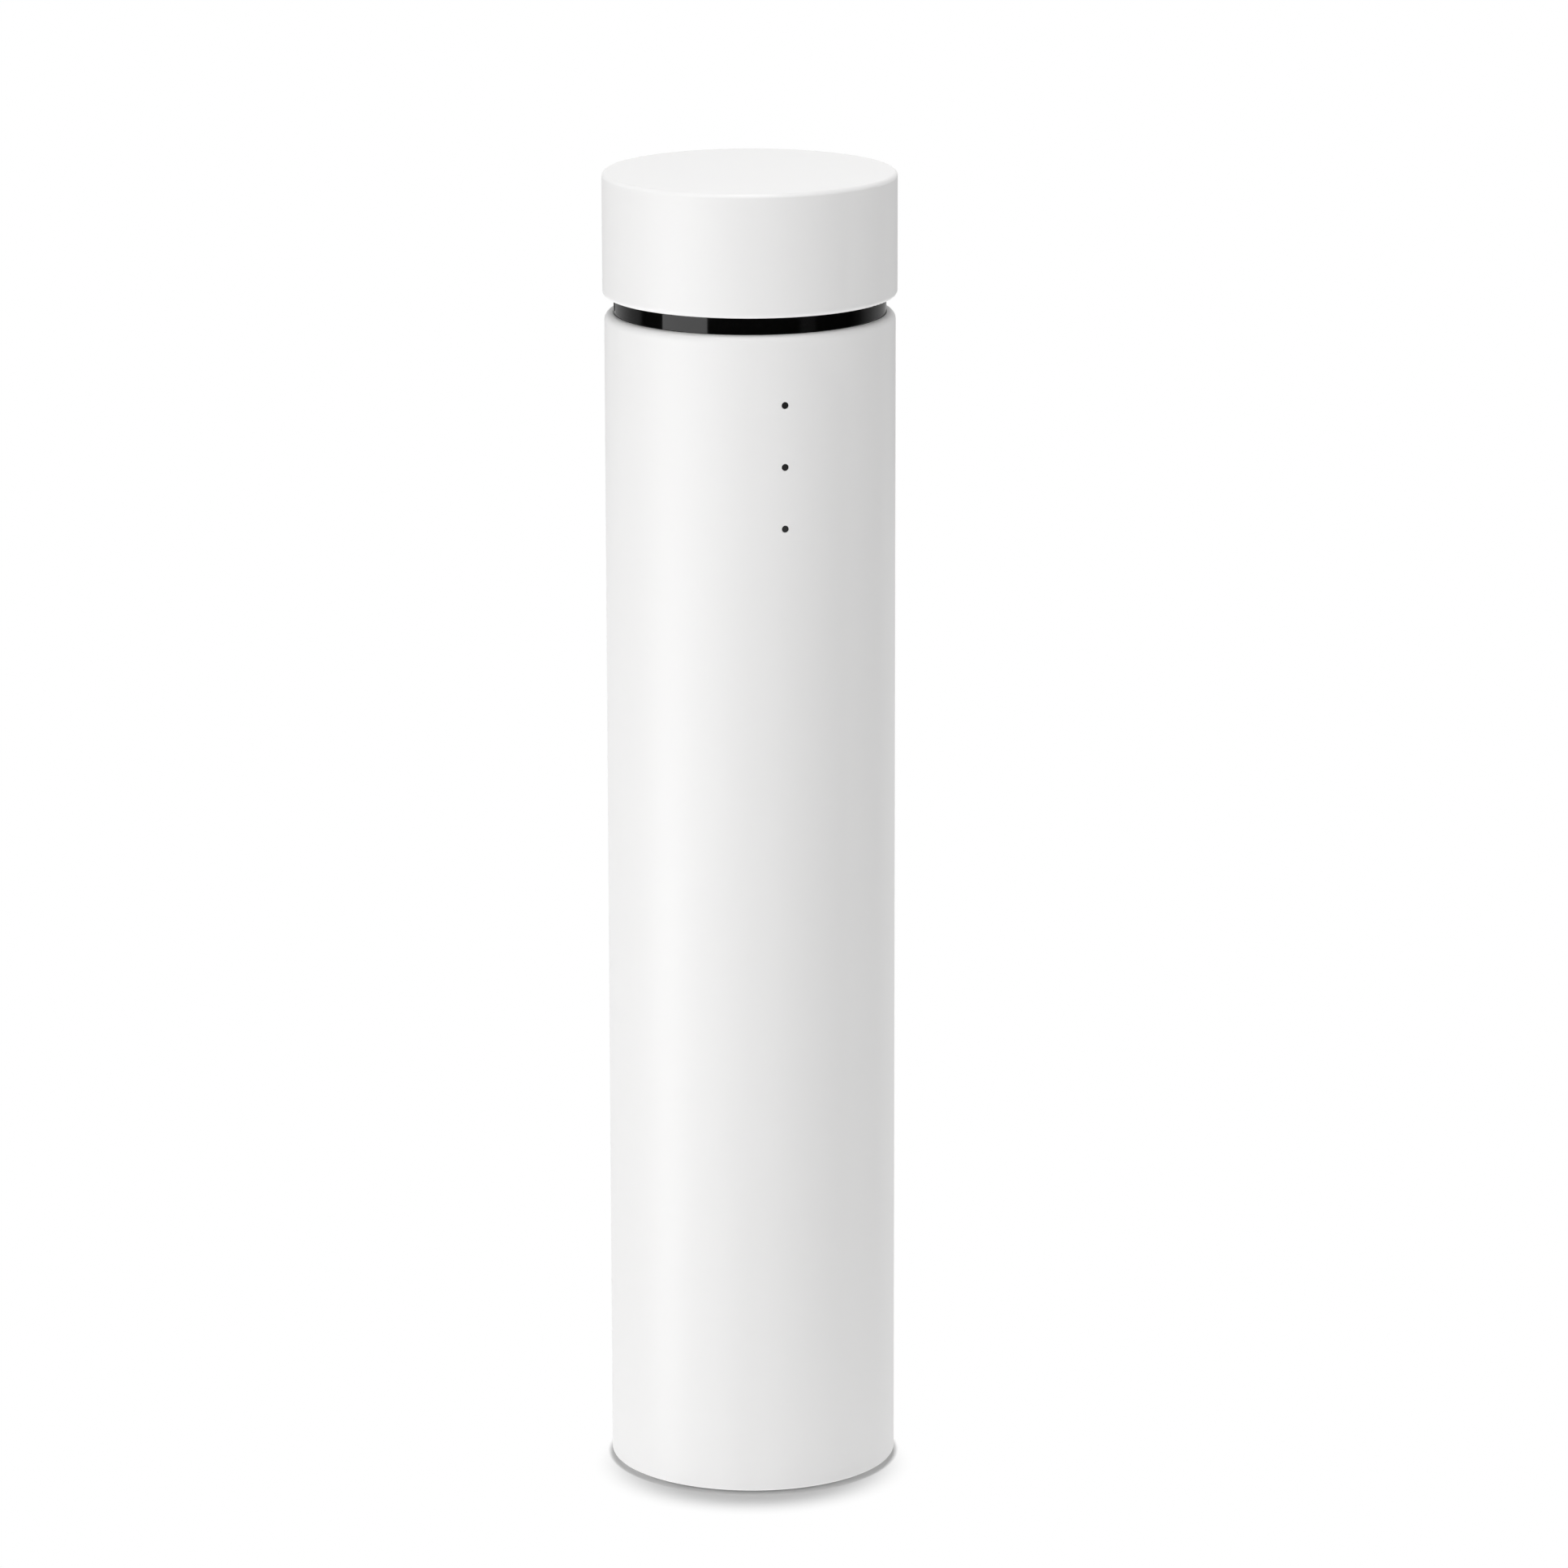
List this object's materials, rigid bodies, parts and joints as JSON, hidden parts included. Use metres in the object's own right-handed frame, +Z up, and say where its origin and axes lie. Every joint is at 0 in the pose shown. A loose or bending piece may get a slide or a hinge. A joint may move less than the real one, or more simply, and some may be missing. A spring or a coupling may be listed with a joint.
{
  "type": "air purifier",
  "caption": "Slim upright tube-shaped air purifier with a lift-off cap that carries its filter cartridge, a black neck band, a fan in the base and indicator dots down the front.",
  "frame": {"origin": "centre of the round footprint, on the surface that the purifier stands on", "axes": "+Z up along the tube, -Y the front with the indicator dots, +Y the back with the intake, the inlet and the button"},
  "size_m": [0.0668, 0.0668, 0.3032],
  "materials": {
    "white_casing": "fine satin moulded white",
    "white_button": "satin moulded white",
    "black_gloss": "polished piano black",
    "black_rubber": "moulded seal rubber",
    "grey_rubber": "soft non-slip rubber",
    "grey_plastic": "moulded grey",
    "plated_steel": "zinc plated, faint turning marks",
    "screw_steel": "plated screw",
    "circuit_board": "green solder mask",
    "capacitor_sleeve": "dark blue sleeve",
    "ferrite": "sintered dark grey",
    "chip_black": "moulded epoxy",
    "connector_nylon": "natural nylon",
    "bright_steel": "drawn bright shell",
    "frame_plastic": "moulded light grey",
    "prefilter_net": "woven nylon net",
    "fan_black": "glass-filled black",
    "lamination_steel": "stamped laminations",
    "enamelled_copper": "enamelled copper wire",
    "bearing_steel": "ground steel",
    "foam_seal": "closed-cell foam",
    "cartridge_plastic": "moulded white",
    "pleat_paper": "pleated fibre paper",
    "carbon_granules": "bonded granules",
    "led_resin": "clear resin over a white package",
    "smoked_lens": "smoked clear plastic",
    "ribbon_film": "white film over flat conductors",
    "lead_jacket": "braided black jacket"
  },
  "bodies": {
    "housing": {"body_shell": "white_casing", "collar_ring": "black_gloss", "cap_seal": "black_rubber", "foot_ring": "grey_rubber", "base_plate": "grey_plastic", "ballast_plate": "plated_steel", "ballast_screws": "screw_steel", "base_screws": "screw_steel", "main_board": "circuit_board", "board_capacitors": "capacitor_sleeve", "power_inductor": "ferrite", "board_chips": "chip_black", "board_connectors": "connector_nylon", "power_inlet": "bright_steel", "inlet_tongue": "chip_black", "switch_body": "chip_black", "intake_frame": "frame_plastic", "filter_sleeve": "frame_plastic", "prefilter_mesh": "prefilter_net", "fan_housing": "fan_black", "fan_screws": "screw_steel", "motor_board": "circuit_board", "stator_core": "lamination_steel", "stator_coils": "enamelled_copper", "lower_bearing": "bearing_steel", "upper_bearing": "bearing_steel", "bearing_spacer": "bearing_steel", "filter_seat": "frame_plastic", "indicator_board": "circuit_board", "indicator_screws": "screw_steel", "indicator_leds": "led_resin", "indicator_lenses": "smoked_lens", "ribbon_cable": "ribbon_film", "fan_lead": "lead_jacket"},
    "cap": {"top_cap": "white_casing", "filter_hanger": "frame_plastic", "hanger_screws": "screw_steel"},
    "cartridge": {"filter_seal": "foam_seal", "lower_end_cap": "cartridge_plastic", "upper_end_cap": "cartridge_plastic", "pleated_filter": "pleat_paper", "carbon_core": "carbon_granules", "filter_cage": "cartridge_plastic"},
    "rotor": {"fan_rotor": "fan_black", "rotor_yoke": "plated_steel", "magnet_ring": "ferrite", "fan_shaft": "bearing_steel"},
    "button": {"power_button": "white_button", "switch_plunger": "grey_plastic"}
  },
  "joints": [
    {"name": "cap_lift", "type": "slide", "parent": "housing", "child": "cap", "axis": [0, 0, 1], "range_m": [0, 0.186]},
    {"name": "cartridge_twist", "type": "hinge", "parent": "cap", "child": "cartridge", "pos_m": [0, 0, 0.26], "axis": [0, 0, 1], "range_deg": [0, 30]},
    {"name": "fan_spin", "type": "hinge", "parent": "housing", "child": "rotor", "pos_m": [0, 0, 0.085], "axis": [0, 0, 1], "continuous": true},
    {"name": "button_press", "type": "slide", "parent": "housing", "child": "button", "axis": [0, -1, 0], "range_m": [0, 0.0006], "stiffness_N_per_m": 2000, "springref_m": -0.0004}
  ]
}
